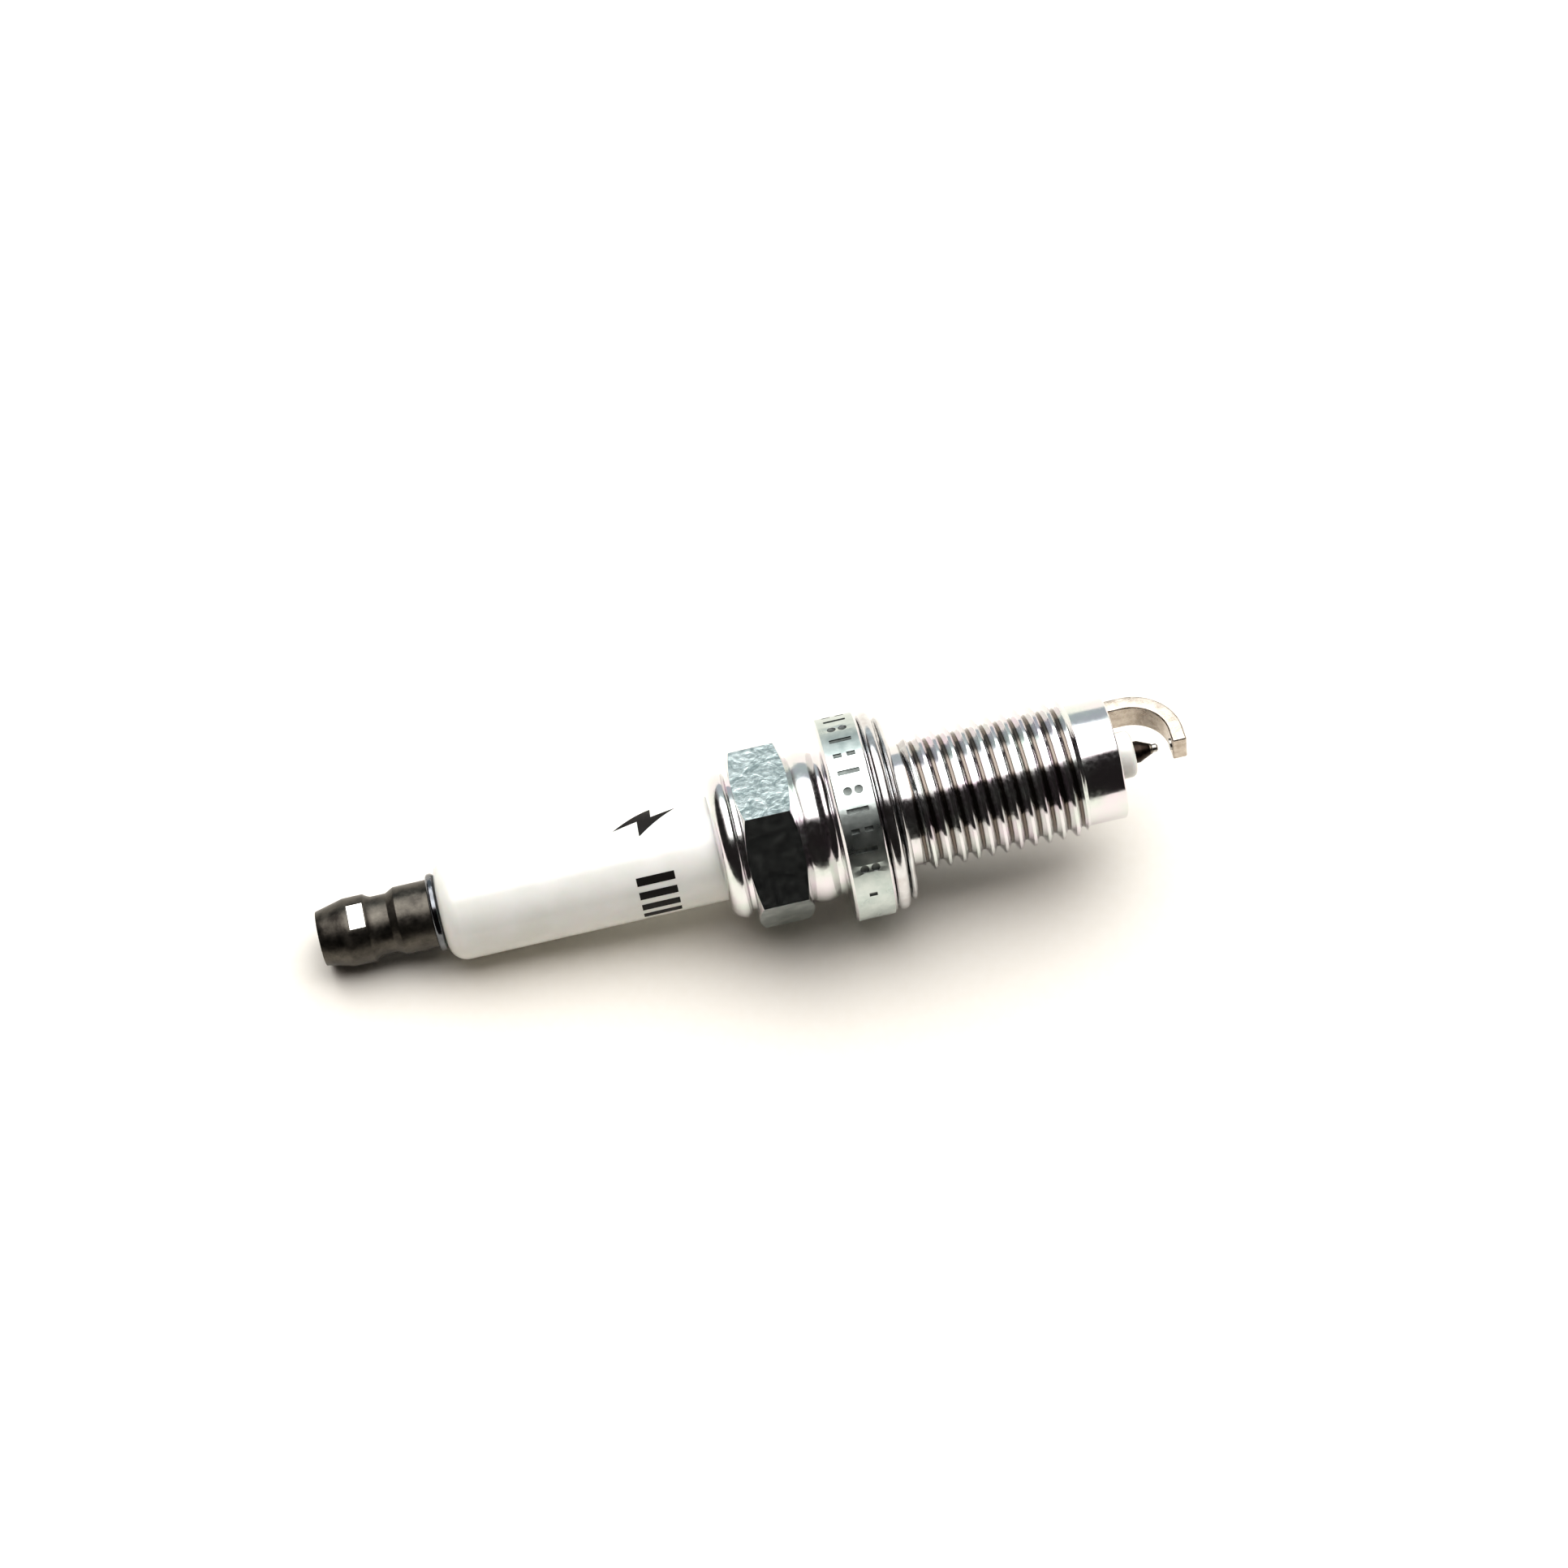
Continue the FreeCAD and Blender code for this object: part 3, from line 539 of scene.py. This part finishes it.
def make_plug():
    # Burnished steel: dark, but glossy enough for a sharp highlight on its rounded edge.
    stud_steel = worked_metal("burnished_stud_steel", "#5E6063", "#7E8084", 0.10, 0.18, 1.1, 0.08)
    # Nickel alloy wire browned by welding: nearly black from most sides.
    wire = worked_metal("heat_browned_nickel_wire", "#251F1B", "#3D342E", 0.26, 0.38, 0.5)
    # Nickel alloy strip, drawn and cut: pale and satin, with a warm tint.
    strap = worked_metal("drawn_nickel_alloy_strip", "#A89C8F", "#CFC5B9", 0.22, 0.34, 0.8)
    # Ground precious metal: small and bright.
    precious = worked_metal("ground_precious_metal", "#9A9792", "#C2BFB9", 0.22, 0.34, 0.4)
    # Metal melted by the welding beam: rippled and uneven.
    weld = worked_metal("melted_weld_metal", "#6E665C", "#938B7F", 0.30, 0.50, 0.3, 0.35)
    # Plated sheet, folded and rolled: smooth and bright, greyer than the shell.
    sheet = worked_metal("plated_rolled_sheet", "#CBC8C7", "#E2E4E5", 0.10, 0.22, 1.1, 0.10)

    pieces = [finish_shell(), finish_terminal_nut()]
    plain = [
        ("flanged_stud", "terminal_stud", 0.03 * MM, stud_steel),
        ("white_insulator", "insulator", 0.05 * MM, glazed_alumina()),
        ("centre_wire", "center_electrode", 0.03 * MM, wire),
        ("centre_pin", "electrode_tip", 0.015 * MM, precious),
        ("pin_bead", "tip_weld", 0.0, weld),
        ("ground_strap", "ground_electrode", 0.0, strap),
        ("strap_pad", "ground_pad", 0.02 * MM, precious),
        ("foot_beads", "ground_weld", 0.0, weld),
    ]
    for name, node, edge, finish in plain:
        piece = broken_edges(name, node, edge)
        give(piece, finish)
        pieces.append(piece)
    ink = marking_ink()
    pieces.append(bolt_mark(ink))
    pieces.extend(bar_marks(ink))
    for piece in pieces:
        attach(piece, "plug")
    gasket = broken_edges("folded_gasket_ring", "gasket", 0.03 * MM, GASKET_SHARP_EDGE)
    give(gasket, sheet)
    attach(gasket, "gasket")
    dress_hidden_nodes()


# ---------------------------------------------------------------- stage, light and camera

def make_floor():
    """The board that the plug lies on, touching its collar and the upper end of its insulator."""
    collar_x, collar_z = FLOOR_COLLAR_POINT
    neck_x, neck_z = FLOOR_NECK_POINT
    slope = math.atan2(collar_z - neck_z, collar_x - neck_x)
    deselect_all()
    bpy.ops.mesh.primitive_plane_add(size=FLOOR_SIZE, location=(collar_x, 0, collar_z),
                                     rotation=(0, -slope, 0))
    floor = bpy.context.object
    floor.name = "board"
    apply_place(floor)
    give(floor, paper_board())


def make_studio():
    """The world's light: soft box, pale wall and dark near side. The camera itself sees plain white."""
    world = bpy.data.worlds.new("studio")
    bpy.context.scene.world = world
    world.use_nodes = True
    tree = world.node_tree
    tree.nodes.clear()
    direction = add(tree, "ShaderNodeTexCoord").outputs["Generated"]

    def below_edge(angle, softness):
        """1 for directions on the far side of an edge that runs along the plug, 0 past it."""
        turn = math.radians(angle)
        side = add(tree, "ShaderNodeVectorMath", {"operation": "DOT_PRODUCT"},
                   _0=direction, _1=(0, math.sin(turn), -math.cos(turn)))
        edge = add(tree, "ShaderNodeMapRange", {"interpolation_type": "SMOOTHSTEP"},
                   Value=side.outputs["Value"], From_Min=-softness, From_Max=softness)
        return edge.outputs["Result"]

    along = add(tree, "ShaderNodeSeparateXYZ", Vector=direction)
    shifted = add(tree, "ShaderNodeMath", {"operation": "SUBTRACT"}, _0=along.outputs["X"], _1=BOX_LEAN)
    off = add(tree, "ShaderNodeMath", {"operation": "ABSOLUTE"}, _0=shifted.outputs["Value"])
    ends = add(tree, "ShaderNodeMapRange", {"interpolation_type": "SMOOTHSTEP"},
               Value=off.outputs["Value"], From_Min=BOX_HALF_LENGTH - END_SOFTNESS,
               From_Max=BOX_HALF_LENGTH + END_SOFTNESS, To_Min=1.0, To_Max=0.0)
    lit = add(tree, "ShaderNodeMath", {"operation": "MULTIPLY"},
              _0=below_edge(BOX_NEAR_EDGE, NEAR_SOFTNESS), _1=ends.outputs["Result"])
    wall = below_edge(BOX_FAR_EDGE, FAR_SOFTNESS)
    lamp = add(tree, "ShaderNodeMapRange", Value=wall, To_Min=BOX_LIGHT, To_Max=WALL_LIGHT)
    strength = add(tree, "ShaderNodeMath", {"operation": "MULTIPLY_ADD"},
                   _0=lit.outputs["Value"], _1=lamp.outputs["Result"], _2=ROOM_LIGHT)
    lamp_colour = add(tree, "ShaderNodeMix", {"data_type": "RGBA"}, Factor=wall,
                      _6=paint(BOX_COLOUR), _7=paint(WALL_COLOUR))
    colour = add(tree, "ShaderNodeMix", {"data_type": "RGBA"}, Factor=lit.outputs["Value"],
                 _6=paint(ROOM_COLOUR), _7=lamp_colour.outputs[2])
    studio = add(tree, "ShaderNodeBackground", Color=colour.outputs[2],
                 Strength=strength.outputs["Value"])
    plain = add(tree, "ShaderNodeBackground", Color=paint("#FFFFFF"), Strength=1.0)
    seen = add(tree, "ShaderNodeLightPath")
    mix = add(tree, "ShaderNodeMixShader", _0=seen.outputs["Is Camera Ray"], _1=studio.outputs[0],
              _2=plain.outputs[0])
    add(tree, "ShaderNodeOutputWorld", Surface=mix.outputs[0])


def make_camera():
    camera = bpy.data.objects.new("camera", bpy.data.cameras.new("camera"))
    bpy.context.scene.collection.objects.link(camera)
    elevation, azimuth = math.radians(CAMERA_ELEVATION), math.radians(CAMERA_AZIMUTH)
    back = Vector((
        math.sin(azimuth) * math.cos(elevation),
        -math.cos(azimuth) * math.cos(elevation),
        math.sin(elevation),
    ))
    unrolled = (-back).to_track_quat("-Z", "Y").to_matrix().to_4x4()
    roll = Matrix.Rotation(-math.radians(CAMERA_ROLL), 4, "Z")
    camera.matrix_world = Matrix.Translation(AIM + back * CAMERA_DISTANCE) @ unrolled @ roll
    camera.data.lens = CAMERA_LENS
    camera.data.sensor_width = CAMERA_SENSOR
    camera.data.clip_start = 0.01
    camera.data.clip_end = 20.0
    bpy.context.scene.camera = camera


make_camera()
make_plug()
make_floor()
make_studio()
bpy.context.scene.view_settings.view_transform = "Standard"
bpy.context.scene.view_settings.look = "Medium High Contrast"
